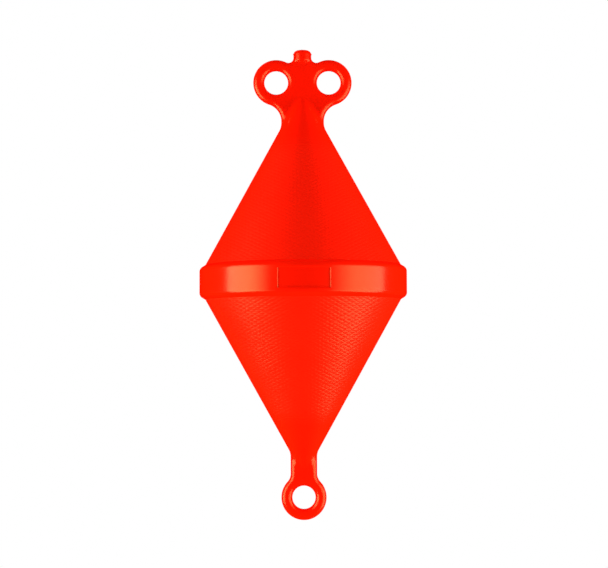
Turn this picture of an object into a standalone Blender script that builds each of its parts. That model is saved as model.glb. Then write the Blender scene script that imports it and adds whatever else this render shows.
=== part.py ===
"""Biconical mooring buoy, blow-moulded in one piece.

Two cones stand base to base on a waist band. The upper cone runs into a flat plate with two
eyes and a short blow-pin stub between them, and the lower cone into a single mooring eye.
The mould opens along Y, so the eye plates lie in the XZ plane and every eye is bored along Y.

Metres, +Z up. The origin is the centre of the mooring eye at the bottom, where the mooring
line pulls. The recessed name panel of the band faces -Y and is bare.
"""

import math

import bmesh
import bpy
from mathutils import Vector

MM = 0.001

# Waist band
BAND_RADIUS = 160.0 * MM
BAND_FLAT_HEIGHT = 32.6 * MM
BAND_CORNER_RADIUS = 8.2 * MM
BAND_PROUD = 9.1 * MM
SHOULDER_SLOPE = math.radians(32.0)
SHOULDER_ROOT_RADIUS = 2.0 * MM

# Cones, each given by the angle between its side and the axis
UPPER_CONE_ANGLE = math.radians(28.7)
LOWER_CONE_ANGLE = math.radians(29.0)
BURIED_TIP_RADIUS = 4.0 * MM

# Eye plates and their eyes
PLATE_THICKNESS = 16.8 * MM
PLATE_RIM_LAND = 0.8 * MM

TOP_EYE_RADIUS = 18.5 * MM
TOP_RIM_WIDTH = 17.2 * MM
TOP_EYE_SPACING = 81.8 * MM
TOP_EYE_ABOVE_WAIST = 311.4 * MM
TOP_NECK_WIDTH = 66.2 * MM
TOP_NECK_COVE = 27.6 * MM
TOP_BLEND_ON_FACE = 8.0 * MM
TOP_BLEND_ON_SIDE = TOP_NECK_COVE

MOORING_EYE_RADIUS = 17.8 * MM
MOORING_RIM_WIDTH = 16.8 * MM
MOORING_EYE_BELOW_WAIST = 330.0 * MM
LOW_NECK_WIDTH = 40.6 * MM
LOW_NECK_COVE = 18.5 * MM
LOW_BLEND_ON_FACE = 16.0 * MM
LOW_BLEND_ON_SIDE = 24.0 * MM

# Blow-pin stub between the top eyes
STUB_RADIUS = 13.8 * MM
STUB_ABOVE_EYES = 50.2 * MM
STUB_CORNER_RADIUS = 6.0 * MM
STUB_DOME = 0.6 * MM
STUB_SIDE_HEIGHT = 9.6 * MM
STUB_TAPER = math.radians(45.0)
STUB_COVE = 8.0 * MM

# Bare name panel sunk into the front of the band
PANEL_WIDTH = 79.0 * MM
PANEL_HEIGHT = 31.6 * MM
PANEL_DEPTH = 1.6 * MM
PANEL_WALL_RUN = 2.0 * MM
PANEL_ABOVE_WAIST = 0.0 * MM
PANEL_CUTTER_STANDS_OUT = 6.0 * MM

# How finely the round shapes are faceted
TURN_STEPS = 80
STUB_STEPS = 32
ARC_STEP = math.radians(10.0)
CORNER_STEP = math.radians(15.0)
EDGE_RESOLUTION = 2
PANEL_STEPS = 12
BLEND_STEPS = 4
BLEND_FACE_STATIONS = 8
BLEND_CORNER_STATIONS = 10

# A blend's ball bites this far into the faces it joins, so that the union has a clean crossing
BLEND_BITE = 0.08 * MM
# and the back of a blend lies this far under them
BLEND_BURIED = 3.0 * MM

# Places that follow from the sizes above
WAIST_Z = MOORING_EYE_BELOW_WAIST
TOP_EYE_Z = WAIST_Z + TOP_EYE_ABOVE_WAIST
TOP_RIM_RADIUS = TOP_EYE_RADIUS + TOP_RIM_WIDTH
MOORING_RIM_RADIUS = MOORING_EYE_RADIUS + MOORING_RIM_WIDTH
HALF_THICKNESS = PLATE_THICKNESS / 2
PLATE_EDGE_RADIUS = HALF_THICKNESS - PLATE_RIM_LAND / 2
STUB_TOP_Z = TOP_EYE_Z + STUB_ABOVE_EYES
CONE_ROOT_RADIUS = BAND_RADIUS - BAND_PROUD

BODY_COLOUR = (0.93, 0.022, 0.003, 1.0)
BODY_ROUGHNESS = 0.38


def clear_scene():
    """Removes whatever the scene holds at the start."""
    for obj in list(bpy.data.objects):
        bpy.data.objects.remove(obj, do_unlink=True)


def new_collection(name):
    """A collection linked to the scene."""
    collection = bpy.data.collections.new(name)
    bpy.context.scene.collection.children.link(collection)
    return collection


def new_object(name, data, collection):
    """An object for this mesh or curve, in that collection."""
    obj = bpy.data.objects.new(name, data)
    collection.objects.link(obj)
    return obj


def as_helper(obj):
    """Marks an object as one that only shapes another."""
    obj.hide_render = True
    obj.display_type = "WIRE"
    return obj


def arc(centre, radius, start, end, step=ARC_STEP):
    """Points of an arc in a plane, from one angle to another, both ends included."""
    steps = max(1, math.ceil(abs(end - start) / step - 0.001))
    turns = [start + (end - start) * i / steps for i in range(steps + 1)]
    return [
        (centre[0] + radius * math.cos(a), centre[1] + radius * math.sin(a))
        for a in turns
    ]


def without_repeats(points):
    """The points of a closed outline, less those that repeat the one before."""
    kept = []
    for x, z in points:
        if not kept or math.hypot(x - kept[-1][0], z - kept[-1][1]) > 1e-7:
            kept.append((x, z))
    if math.hypot(kept[0][0] - kept[-1][0], kept[0][1] - kept[-1][1]) < 1e-7:
        kept.pop()
    return kept


def turned(name, profile, steps, collection):
    """A solid turned about Z from (radius, height) points that run from its top to its foot."""
    mesh = bpy.data.meshes.new(name)
    points = [(radius, 0.0, height) for radius, height in profile]
    mesh.from_pydata(points, [(i, i + 1) for i in range(len(points) - 1)], [])
    obj = new_object(name, mesh, collection)
    screw = obj.modifiers.new("turn", "SCREW")
    screw.axis = "Z"
    screw.angle = 2 * math.pi
    screw.steps = steps
    screw.render_steps = steps
    screw.use_merge_vertices = True
    screw.merge_threshold = 0.00001
    return obj


class Cone:
    """One cone of the buoy, from its root at the band towards its tip.

    side is +1 for the upper cone and -1 for the lower one.
    """

    def __init__(self, angle, side):
        self.angle = angle
        self.side = side
        self.slope = math.tan(angle)
        self.root_radius = CONE_ROOT_RADIUS
        self.root_z = WAIST_Z + side * band_half_height()

    def height_at(self, radius):
        """The height at which the cone has this radius."""
        return self.root_z + self.side * (self.root_radius - radius) / self.slope

    def outward(self, x, y):
        """The unit normal of the cone's side, on the bearing of the point (x, y)."""
        across = math.cos(self.angle) / math.hypot(x, y)
        return Vector((x * across, y * across, self.side * math.sin(self.angle)))


def corner_drop():
    """How far the rounded corner of the band falls back, and how far it reaches in height."""
    turn = math.pi / 2 - SHOULDER_SLOPE
    return (
        BAND_CORNER_RADIUS * (1 - math.cos(turn)),
        BAND_CORNER_RADIUS * math.sin(turn),
    )


def band_half_height():
    """From the waist to where the shoulder meets the cone."""
    back, reach = corner_drop()
    shoulder = (BAND_PROUD - back) * math.tan(SHOULDER_SLOPE)
    return BAND_FLAT_HEIGHT / 2 + reach + shoulder


def shoulder_points(cone):
    """(radius, height) points from the cone's side, over the shoulder, to the band's flat."""
    side = cone.side
    bend = math.pi / 2 - SHOULDER_SLOPE
    # The hollow corner at the root of the shoulder is rounded by a small arc
    opening = math.pi / 2 + SHOULDER_SLOPE + cone.angle
    cut = SHOULDER_ROOT_RADIUS / math.tan(opening / 2)
    up_cone = (
        cone.root_radius - cut * math.sin(cone.angle),
        cone.root_z + side * cut * math.cos(cone.angle),
    )
    down_shoulder = (
        cone.root_radius + cut * math.cos(SHOULDER_SLOPE),
        cone.root_z - side * cut * math.sin(SHOULDER_SLOPE),
    )
    middle = (
        (up_cone[0] + down_shoulder[0]) / 2,
        (up_cone[1] + down_shoulder[1]) / 2,
    )
    eased = (
        middle[0] + (cone.root_radius - middle[0]) / 2,
        middle[1] + (cone.root_z - middle[1]) / 2,
    )
    centre = (
        BAND_RADIUS - BAND_CORNER_RADIUS,
        WAIST_Z + side * BAND_FLAT_HEIGHT / 2,
    )
    corner = arc(centre, BAND_CORNER_RADIUS, side * bend, 0.0, CORNER_STEP)
    return [up_cone, eased, down_shoulder, *corner]


def build_double_cone(upper, lower, collection):
    """Both cones and the waist band, turned from one profile with its tips cut square."""
    tips = [cone.height_at(BURIED_TIP_RADIUS) for cone in (upper, lower)]
    profile = [(0.0, tips[0]), (BURIED_TIP_RADIUS, tips[0])]
    profile += shoulder_points(upper)
    profile += reversed(shoulder_points(lower))
    profile += [(BURIED_TIP_RADIUS, tips[1]), (0.0, tips[1])]
    return turned("buoy", profile, TURN_STEPS, collection)


def build_plate(name, outline, eyes, eye_radius, collection):
    """A flat plate with round edges, from its outline in XZ and the centres of its eyes."""
    curve = bpy.data.curves.new(name, "CURVE")
    curve.dimensions = "2D"
    curve.fill_mode = "BOTH"
    curve.extrude = PLATE_RIM_LAND / 2
    curve.bevel_depth = PLATE_EDGE_RADIUS
    curve.bevel_resolution = EDGE_RESOLUTION
    curve.offset = -PLATE_EDGE_RADIUS
    loops = [outline] + [arc(eye, eye_radius, 0.0, 2 * math.pi) for eye in eyes]
    for loop in loops:
        points = without_repeats(loop)
        spline = curve.splines.new("POLY")
        spline.points.add(len(points) - 1)
        for spline_point, (x, z) in zip(spline.points, points):
            spline_point.co = (x, z, 0.0, 1.0)
        spline.use_cyclic_u = True
    flat = new_object(name + "_outline", curve, collection)
    flat.rotation_euler = (math.pi / 2, 0.0, 0.0)
    return solid_from_curve(name, flat, collection)


def solid_from_curve(name, flat, collection):
    """The curve object made into a closed mesh object in the same place."""
    bpy.context.view_layer.update()
    graph = bpy.context.evaluated_depsgraph_get()
    mesh = bpy.data.meshes.new_from_object(flat.evaluated_get(graph))
    mesh.name = name
    bm = bmesh.new()
    bm.from_mesh(mesh)
    bmesh.ops.remove_doubles(bm, verts=bm.verts, dist=0.000005)
    bmesh.ops.recalc_face_normals(bm, faces=bm.faces)
    bm.to_mesh(mesh)
    bm.free()
    solid = new_object(name, mesh, collection)
    solid.matrix_world = flat.matrix_world
    bpy.data.objects.remove(flat, do_unlink=True)
    return solid


def neck_cove(eye, rim_radius, neck_x, radius, side):
    """The cove that leads from an eye's rim into the straight side of the neck.

    It touches the rim's circle from outside and the line x = neck_x. side is -1 where the
    neck lies below the eye and +1 where it lies above. Returns its centre and the angle, at
    the eye, of the point where it leaves the rim.
    """
    centre_x = neck_x + radius
    across = centre_x - eye[0]
    down = math.sqrt((rim_radius + radius) ** 2 - across**2)
    centre = (centre_x, eye[1] + side * down)
    return centre, math.atan2(side * down, across)


def top_plate_outline():
    """The plate that carries the two top eyes, as a closed outline in XZ."""
    eye = (TOP_EYE_SPACING / 2, TOP_EYE_Z)
    neck_x = TOP_NECK_WIDTH / 2
    cove, leaves = neck_cove(eye, TOP_RIM_RADIUS, neck_x, TOP_NECK_COVE, -1)
    # The small cove between the rim and the side of the stub
    notch_x = STUB_RADIUS + STUB_COVE
    rise = math.sqrt((TOP_RIM_RADIUS + STUB_COVE) ** 2 - (eye[0] - notch_x) ** 2)
    notch = (notch_x, eye[1] + rise)
    arrives = math.atan2(rise, notch_x - eye[0])
    tab_top = STUB_TOP_Z - STUB_CORNER_RADIUS
    foot = WAIST_Z + TOP_EYE_ABOVE_WAIST / 2
    right = [(neck_x - PLATE_EDGE_RADIUS, foot), (neck_x, foot + PLATE_EDGE_RADIUS)]
    right += arc(cove, TOP_NECK_COVE, math.pi, leaves + math.pi)
    right += arc(eye, TOP_RIM_RADIUS, leaves, arrives)
    right += arc(notch, STUB_COVE, arrives - math.pi, -math.pi)
    right += [(STUB_RADIUS - PLATE_EDGE_RADIUS, tab_top)]
    return right + [(-x, z) for x, z in reversed(right)]


def bottom_plate_outline():
    """The plate that carries the mooring eye, as a closed outline in XZ."""
    eye = (0.0, 0.0)
    neck_x = LOW_NECK_WIDTH / 2
    cove, leaves = neck_cove(eye, MOORING_RIM_RADIUS, neck_x, LOW_NECK_COVE, 1)
    head = MOORING_EYE_BELOW_WAIST / 2
    right = arc(eye, MOORING_RIM_RADIUS, -math.pi / 2, leaves)
    right += arc(cove, LOW_NECK_COVE, leaves + math.pi, math.pi)
    right += [(neck_x, head - PLATE_EDGE_RADIUS), (neck_x - PLATE_EDGE_RADIUS, head)]
    return right + [(-x, z) for x, z in reversed(right)]


def build_stub(collection):
    """The closed blow-pin stub: a short round post whose foot tapers into the plate."""
    corner_z = STUB_TOP_Z - STUB_DOME - STUB_CORNER_RADIUS
    side_foot = corner_z - STUB_SIDE_HEIGHT
    buried = STUB_RADIUS / 3
    profile = [(0.0, STUB_TOP_Z)]
    profile += arc(
        (STUB_RADIUS - STUB_CORNER_RADIUS, corner_z),
        STUB_CORNER_RADIUS,
        math.pi / 2,
        0.0,
        CORNER_STEP,
    )
    taper_drop = (STUB_RADIUS - buried) / math.tan(STUB_TAPER)
    profile += [(STUB_RADIUS, side_foot), (buried, side_foot - taper_drop)]
    profile += [(0.0, side_foot - taper_drop)]
    return turned("stub", profile, STUB_STEPS, collection)


def blend_stations(half_x, half_y):
    """Where the blend's sections stand round a plate's section, seen in plan.

    The plate's section has its rounded corners about (+-half_x, +-half_y). Each station is
    that middle and the direction (u, v) in which the plate faces there. On the flat faces
    they crowd towards the middle, where the edge of the cone bends most.
    """
    crowding = math.asinh(half_x / HALF_THICKNESS)
    quarter = []
    for i in range(BLEND_FACE_STATIONS):
        x = HALF_THICKNESS * math.sinh(crowding * i / BLEND_FACE_STATIONS)
        quarter.append((x, half_y, 0.0, 1.0))
    for i in range(BLEND_CORNER_STATIONS + 1):
        turn = math.pi / 2 * (1 - i / BLEND_CORNER_STATIONS)
        quarter.append((half_x, half_y, math.cos(turn), math.sin(turn)))
    right = quarter + [(x, -y, u, -v) for x, y, u, v in reversed(quarter)]
    left = [(-x, y, -u, v) for x, y, u, v in reversed(right)]
    return right[:-1] + left[:-1]


def blend_section(station, cone, on_face, on_side):
    """One section of the blend: the arc of a ball, then three corners buried in the buoy.

    The ball rests against the plate and the cone. Its radius grows from on_face, at the
    plate's flat faces, to on_side, at the plate's narrow sides.
    """
    x, y, u, v = station
    ball = on_face + (on_side - on_face) * u**2
    reach = ball - BLEND_BITE
    x += (PLATE_EDGE_RADIUS + reach) * u
    y += (PLATE_EDGE_RADIUS + reach) * v
    cone_radius = math.hypot(x, y) - reach / math.cos(cone.angle)
    centre = Vector((x, y, cone.height_at(cone_radius)))
    to_plate = -Vector((u, v, 0.0))
    to_cone = -cone.outward(x, y)
    section = [
        centre + ball * to_plate.slerp(to_cone, i / BLEND_STEPS)
        for i in range(BLEND_STEPS + 1)
    ]
    half_angle = to_plate.angle(to_cone) / 2
    deep = ball + BLEND_BURIED
    section.append(centre + deep * to_cone)
    section.append(centre + deep / math.cos(half_angle) * to_plate.slerp(to_cone, 0.5))
    section.append(centre + deep * to_plate)
    return section


def build_blend(name, cone, neck_width, on_face, on_side, collection):
    """The hollow blend between a cone and the plate that grows out of it.

    A ball rolls round the corner where the cone meets the plate. The blend is the strip that
    the ball leaves open to the air, closed behind by faces buried in the cone and the plate.
    """
    half_x = neck_width / 2 - PLATE_EDGE_RADIUS
    half_y = PLATE_RIM_LAND / 2
    bm = bmesh.new()
    rings = [
        [bm.verts.new(point) for point in blend_section(station, cone, on_face, on_side)]
        for station in blend_stations(half_x, half_y)
    ]
    for ring, after in zip(rings, rings[1:] + rings[:1]):
        for i, vert in enumerate(ring):
            j = (i + 1) % len(ring)
            bm.faces.new((vert, ring[j], after[j], after[i]))
    bmesh.ops.recalc_face_normals(bm, faces=bm.faces)
    mesh = bpy.data.meshes.new(name)
    bm.to_mesh(mesh)
    bm.free()
    return new_object(name, mesh, collection)


def build_panel_cutter(collection):
    """What is sunk into the front of the band: a block bent round the axis, with sloping ends."""
    layers = (
        (BAND_RADIUS - PANEL_DEPTH, 0.0),
        (BAND_RADIUS + PANEL_CUTTER_STANDS_OUT, PANEL_CUTTER_STANDS_OUT + PANEL_DEPTH),
    )
    spread = PANEL_WALL_RUN / PANEL_DEPTH
    bm = bmesh.new()
    grids = []
    for radius, above_floor in layers:
        wider = above_floor * spread
        half_angle = (PANEL_WIDTH / 2 - PANEL_WALL_RUN + wider) / BAND_RADIUS
        half_height = PANEL_HEIGHT / 2 - PANEL_WALL_RUN + wider
        middle_z = WAIST_Z + PANEL_ABOVE_WAIST
        grid = []
        for i in range(PANEL_STEPS + 1):
            turn = half_angle * (2 * i / PANEL_STEPS - 1)
            x, y = radius * math.sin(turn), -radius * math.cos(turn)
            ends = (middle_z - half_height, middle_z + half_height)
            grid.append([bm.verts.new((x, y, z)) for z in ends])
        grids.append(grid)
    inner, outer = grids
    for i in range(PANEL_STEPS):
        for grid in grids:
            bm.faces.new((grid[i][0], grid[i + 1][0], grid[i + 1][1], grid[i][1]))
        for k in (0, 1):
            bm.faces.new((inner[i][k], inner[i + 1][k], outer[i + 1][k], outer[i][k]))
    for i in (0, PANEL_STEPS):
        bm.faces.new((inner[i][0], inner[i][1], outer[i][1], outer[i][0]))
    bmesh.ops.recalc_face_normals(bm, faces=bm.faces)
    mesh = bpy.data.meshes.new("panel_cutter")
    bm.to_mesh(mesh)
    bm.free()
    return new_object("panel_cutter", mesh, collection)


def combine(target, operand, operation):
    """Adds a Boolean modifier that joins the operand to the target or cuts it away."""
    boolean = target.modifiers.new(operand.name, "BOOLEAN")
    boolean.operation = operation
    boolean.solver = "EXACT"
    boolean.object = as_helper(operand)


def plastic():
    """Orange-red polyethylene, coloured through."""
    material = bpy.data.materials.new("orange_polyethylene")
    material.use_nodes = True
    shader = material.node_tree.nodes["Principled BSDF"]
    shader.inputs["Base Color"].default_value = BODY_COLOUR
    shader.inputs["Roughness"].default_value = BODY_ROUGHNESS
    shader.inputs["Metallic"].default_value = 0.0
    return material


def main():
    """Builds the buoy as one solid."""
    clear_scene()
    parts = new_collection("biconical_buoy")
    helpers = new_collection("shaping_helpers")
    upper = Cone(UPPER_CONE_ANGLE, 1)
    lower = Cone(LOWER_CONE_ANGLE, -1)
    buoy = build_double_cone(upper, lower, parts)
    combine(buoy, build_panel_cutter(helpers), "DIFFERENCE")

    half_spacing = TOP_EYE_SPACING / 2
    top_eyes = [(-half_spacing, TOP_EYE_Z), (half_spacing, TOP_EYE_Z)]
    joined = (
        build_plate("top_plate", top_plate_outline(), top_eyes, TOP_EYE_RADIUS, helpers),
        build_plate(
            "bottom_plate",
            bottom_plate_outline(),
            [(0.0, 0.0)],
            MOORING_EYE_RADIUS,
            helpers,
        ),
        build_stub(helpers),
        build_blend(
            "top_blend",
            upper,
            TOP_NECK_WIDTH,
            TOP_BLEND_ON_FACE,
            TOP_BLEND_ON_SIDE,
            helpers,
        ),
        build_blend(
            "bottom_blend",
            lower,
            LOW_NECK_WIDTH,
            LOW_BLEND_ON_FACE,
            LOW_BLEND_ON_SIDE,
            helpers,
        ),
    )
    for piece in joined:
        combine(buoy, piece, "UNION")
    buoy.data.materials.append(plastic())


main()
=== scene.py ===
"""Looks of a biconical mooring buoy, blow-moulded in one piece from polyethylene.

The whole moulding is one closed skin. Its cones and waist band are a grid turned about the
axis. Its two heads, the eye plates with their blends into the cones, are nets drawn over
distance formulas, so that every hollow between cone, plate and stub is truly round.

Metres, +Z up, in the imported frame: the origin is the centre of the mooring eye.
"""

import logging
import math
from dataclasses import dataclass, field
from enum import Enum
from itertools import product
from typing import ClassVar, Protocol

import bmesh
import bpy
import numpy as np
from mathutils import Matrix, Vector

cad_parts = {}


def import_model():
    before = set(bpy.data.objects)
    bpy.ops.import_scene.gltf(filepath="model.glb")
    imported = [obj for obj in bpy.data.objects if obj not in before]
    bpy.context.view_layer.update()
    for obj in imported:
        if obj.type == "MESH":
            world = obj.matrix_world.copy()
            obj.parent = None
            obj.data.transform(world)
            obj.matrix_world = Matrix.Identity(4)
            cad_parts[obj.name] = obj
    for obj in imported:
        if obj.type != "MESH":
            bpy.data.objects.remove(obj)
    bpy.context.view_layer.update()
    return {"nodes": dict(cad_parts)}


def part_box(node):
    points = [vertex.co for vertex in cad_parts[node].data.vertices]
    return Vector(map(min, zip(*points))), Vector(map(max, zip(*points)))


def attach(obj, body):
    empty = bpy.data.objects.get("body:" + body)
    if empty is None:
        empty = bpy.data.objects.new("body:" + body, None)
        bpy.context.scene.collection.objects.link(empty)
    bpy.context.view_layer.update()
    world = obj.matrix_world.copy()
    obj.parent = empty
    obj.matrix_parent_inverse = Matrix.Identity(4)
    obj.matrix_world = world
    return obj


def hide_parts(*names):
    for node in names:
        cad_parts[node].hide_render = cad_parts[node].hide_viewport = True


MM = 0.001
# Keeps a division by a distance defined where that distance is zero
TINY = 1e-9

log = logging.getLogger("buoy")

Sample = tuple[np.ndarray, np.ndarray]


class Pole(Enum):
    """The two ends of the buoy, each with the sign of its height above the waist."""

    UPPER = 1
    LOWER = -1


class Form(Protocol):
    """A solid that can say how far points lie outside it and which way it faces them."""

    def sample(self, points: np.ndarray) -> Sample:
        """Measures the form at points.

        Args:
            points: an array of n places, n by 3.

        Returns:
            The signed distances, negative inside, and the unit directions that lead away
            from the form, n by 3.
        """


def reach_of(across: np.ndarray, up: np.ndarray) -> np.ndarray:
    """The length of a vector from its two parts, never quite zero."""
    return np.maximum(np.hypot(across, up), TINY)


def rounded_corner(
    first: np.ndarray, second: np.ndarray, radius: float
) -> tuple[np.ndarray, np.ndarray, np.ndarray]:
    """Joins two faces that stand square to each other by a round corner.

    Where a point lies beyond both sunk faces, its distance is the root of the sum of the two
    squares, less the radius. Elsewhere it is the larger of the two, less the radius.

    Args:
        first: signed distances to the first face when it is sunk by the radius.
        second: the same for the second face.
        radius: the corner's radius.

    Returns:
        The signed distances to the joined faces, and how much of the first and of the second
        face's direction the way that leads away from them holds.
    """
    corner = np.hypot(np.maximum(first, 0.0), np.maximum(second, 0.0))
    safe = np.maximum(corner, TINY)
    inner = np.minimum(np.maximum(first, second), 0.0)
    rounded = (first > 0.0) & (second > 0.0)
    leads = np.where(first > second, 1.0, 0.0)
    share_first = np.where(rounded, first / safe, leads)
    share_second = np.where(rounded, second / safe, 1.0 - leads)
    return corner + inner - radius, share_first, share_second


@dataclass(frozen=True)
class Edge:
    """A straight edge of a plate's outline, upright at x, seen in the XZ plane.

    The material lies on the side of smaller x. The edge runs from one height to another.
    """

    x: float
    low: float
    high: float

    def sample(self, x: np.ndarray, z: np.ndarray) -> tuple[np.ndarray, ...]:
        """Measures the edge.

        Args:
            x: places across.
            z: places up.

        Returns:
            How far the nearest point of the edge is, the signed distance to its line, and the
            direction away from the material as its x and z parts.
        """
        past = np.maximum(self.low - z, 0.0) + np.maximum(z - self.high, 0.0)
        signed = x - self.x
        return np.hypot(signed, past), signed, np.ones_like(x), np.zeros_like(x)


@dataclass(frozen=True)
class Arc:
    """A round stretch of a plate's outline.

    hollow is False where the material fills the circle and True where it surrounds it. The
    stretch is centred on the bearing middle and reaches half_span to either side.
    """

    centre: tuple[float, float]
    radius: float
    middle: float
    half_span: float
    hollow: bool

    @classmethod
    def between(
        cls,
        centre: tuple[float, float],
        radius: float,
        start: float,
        end: float,
        hollow: bool,
    ) -> "Arc":
        """Makes the arc that runs from one bearing to another.

        Args:
            centre: the circle's centre in XZ.
            radius: its radius.
            start: the bearing of one end, in radians.
            end: the bearing of the other end.
            hollow: whether the material surrounds the circle.

        Returns:
            The arc.
        """
        return cls(centre, radius, (start + end) / 2, abs(end - start) / 2, hollow)

    def sample(self, x: np.ndarray, z: np.ndarray) -> tuple[np.ndarray, ...]:
        """Measures the arc.

        The distance to the circle is the distance to its centre less its radius. Beyond the
        ends of the arc, the nearest point is the end that lies closer in bearing.

        Args:
            x: places across.
            z: places up.

        Returns:
            How far the nearest point of the arc is, the signed distance to its circle, and
            the direction away from the material as its x and z parts.
        """
        across, up = x - self.centre[0], z - self.centre[1]
        reach = reach_of(across, up)
        bearing = np.arctan2(up, across) - self.middle
        bearing = (bearing + math.pi) % (2 * math.pi) - math.pi
        beyond = np.abs(bearing) - self.half_span
        end = self.middle + np.sign(bearing) * self.half_span
        to_end = np.hypot(
            across - self.radius * np.cos(end), up - self.radius * np.sin(end)
        )
        away = -1.0 if self.hollow else 1.0
        signed = away * (reach - self.radius)
        nearest = np.where(beyond > 0.0, to_end, np.abs(signed))
        return nearest, signed, away * across / reach, away * up / reach


@dataclass(frozen=True)
class EyePlate:
    """A flat plate in the XZ plane with round edges and round eyes bored along Y.

    The outline is given for its right half and mirrored to the left. The plate is cut off
    level at the two heights named ends.
    """

    outline: tuple[Edge | Arc, ...]
    eye: tuple[float, float]
    eye_radius: float
    thickness: float
    edge_radius: float
    ends: tuple[float, float]

    def sample(self, points: np.ndarray) -> Sample:
        """Measures the plate.

        In the XZ plane the distance is the largest of three: that of the nearest stretch of
        the outline, that of the eye's circle, and that past the nearer end. Sunk by the edge
        radius, it is paired with the distance past the flat core of the plate. The plate is
        all that lies within one edge radius of the region where neither of the two is
        positive.

        Args:
            points: places, n by 3.

        Returns:
            Signed distances and unit directions away from the plate.
        """
        mirrored = np.where(points[:, 0] < 0.0, -1.0, 1.0)
        x, y, z = np.abs(points[:, 0]), points[:, 1], points[:, 2]
        nearest, signed, out_x, out_z = self.outline[0].sample(x, z)
        for stretch in self.outline[1:]:
            found = stretch.sample(x, z)
            closer = found[0] < nearest
            nearest = np.where(closer, found[0], nearest)
            signed = np.where(closer, found[1], signed)
            out_x = np.where(closer, found[2], out_x)
            out_z = np.where(closer, found[3], out_z)
        across, up = x - self.eye[0], z - self.eye[1]
        reach = reach_of(across, up)
        in_eye = self.eye_radius - reach
        bored = in_eye > signed
        signed = np.where(bored, in_eye, signed)
        out_x = np.where(bored, -across / reach, out_x)
        out_z = np.where(bored, -up / reach, out_z)
        past_end = np.maximum(self.ends[0] - z, z - self.ends[1])
        ended = past_end > signed
        signed = np.where(ended, past_end, signed)
        out_x = np.where(ended, 0.0, out_x)
        out_z = np.where(ended, np.sign(z - sum(self.ends) / 2), out_z)

        in_plane = signed + self.edge_radius
        through = np.abs(y) - (self.thickness / 2 - self.edge_radius)
        signed, outward, sideways = rounded_corner(in_plane, through, self.edge_radius)
        side = np.where(y < 0.0, -1.0, 1.0)
        away = (outward * out_x * mirrored, sideways * side, outward * out_z)
        return signed, np.column_stack(away)


@dataclass(frozen=True)
class ConeSide:
    """One cone of the buoy, endless in both directions.

    Its radius is root_radius at root_height and shrinks towards its pole by the tangent of
    the angle between side and axis.
    """

    pole: Pole
    angle: float
    root_radius: float
    root_height: float

    def radius_at(self, height: np.ndarray | float) -> np.ndarray | float:
        """The cone's radius at a height."""
        climbed = self.pole.value * (height - self.root_height)
        return self.root_radius - climbed * math.tan(self.angle)

    def height_at(self, radius: float) -> float:
        """The height at which the cone has a radius."""
        shrunk = self.pole.value * (self.root_radius - radius)
        return self.root_height + shrunk / math.tan(self.angle)

    def sample(self, points: np.ndarray) -> Sample:
        """Measures the cone.

        The distance is the gap between a point's radius and the cone's radius at its height,
        times the cosine of the cone's angle.

        Args:
            points: places, n by 3.

        Returns:
            Signed distances and unit directions away from the cone.
        """
        reach = reach_of(points[:, 0], points[:, 1])
        flat = math.cos(self.angle)
        away = np.column_stack(
            (
                flat * points[:, 0] / reach,
                flat * points[:, 1] / reach,
                np.full(len(points), self.pole.value * math.sin(self.angle)),
            )
        )
        return (reach - self.radius_at(points[:, 2])) * flat, away


@dataclass(frozen=True)
class BlowPinStub:
    """The closed stub where the blow pin entered: a round post with a rounded top.

    Its foot tapers inwards until it sinks into the plate.
    """

    radius: float
    top: float
    corner_radius: float
    foot: float
    taper: float

    def sample(self, points: np.ndarray) -> Sample:
        """Measures the stub.

        Seen in a half-plane through the axis, it is a box with a rounded upper corner, cut
        below by a sloping line through its foot.

        Args:
            points: places, n by 3.

        Returns:
            Signed distances and unit directions away from the stub.
        """
        reach = reach_of(points[:, 0], points[:, 1])
        z = points[:, 2]
        signed, outward, upward = rounded_corner(
            reach - (self.radius - self.corner_radius),
            z - (self.top - self.corner_radius),
            self.corner_radius,
        )
        flat, steep = math.cos(self.taper), math.sin(self.taper)
        under = (reach - self.radius) * flat - (z - self.foot) * steep
        cut = under > signed
        signed = np.where(cut, under, signed)
        outward = np.where(cut, flat, outward)
        upward = np.where(cut, -steep, upward)
        away = np.column_stack(
            (outward * points[:, 0] / reach, outward * points[:, 1] / reach, upward)
        )
        return signed, away


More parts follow.
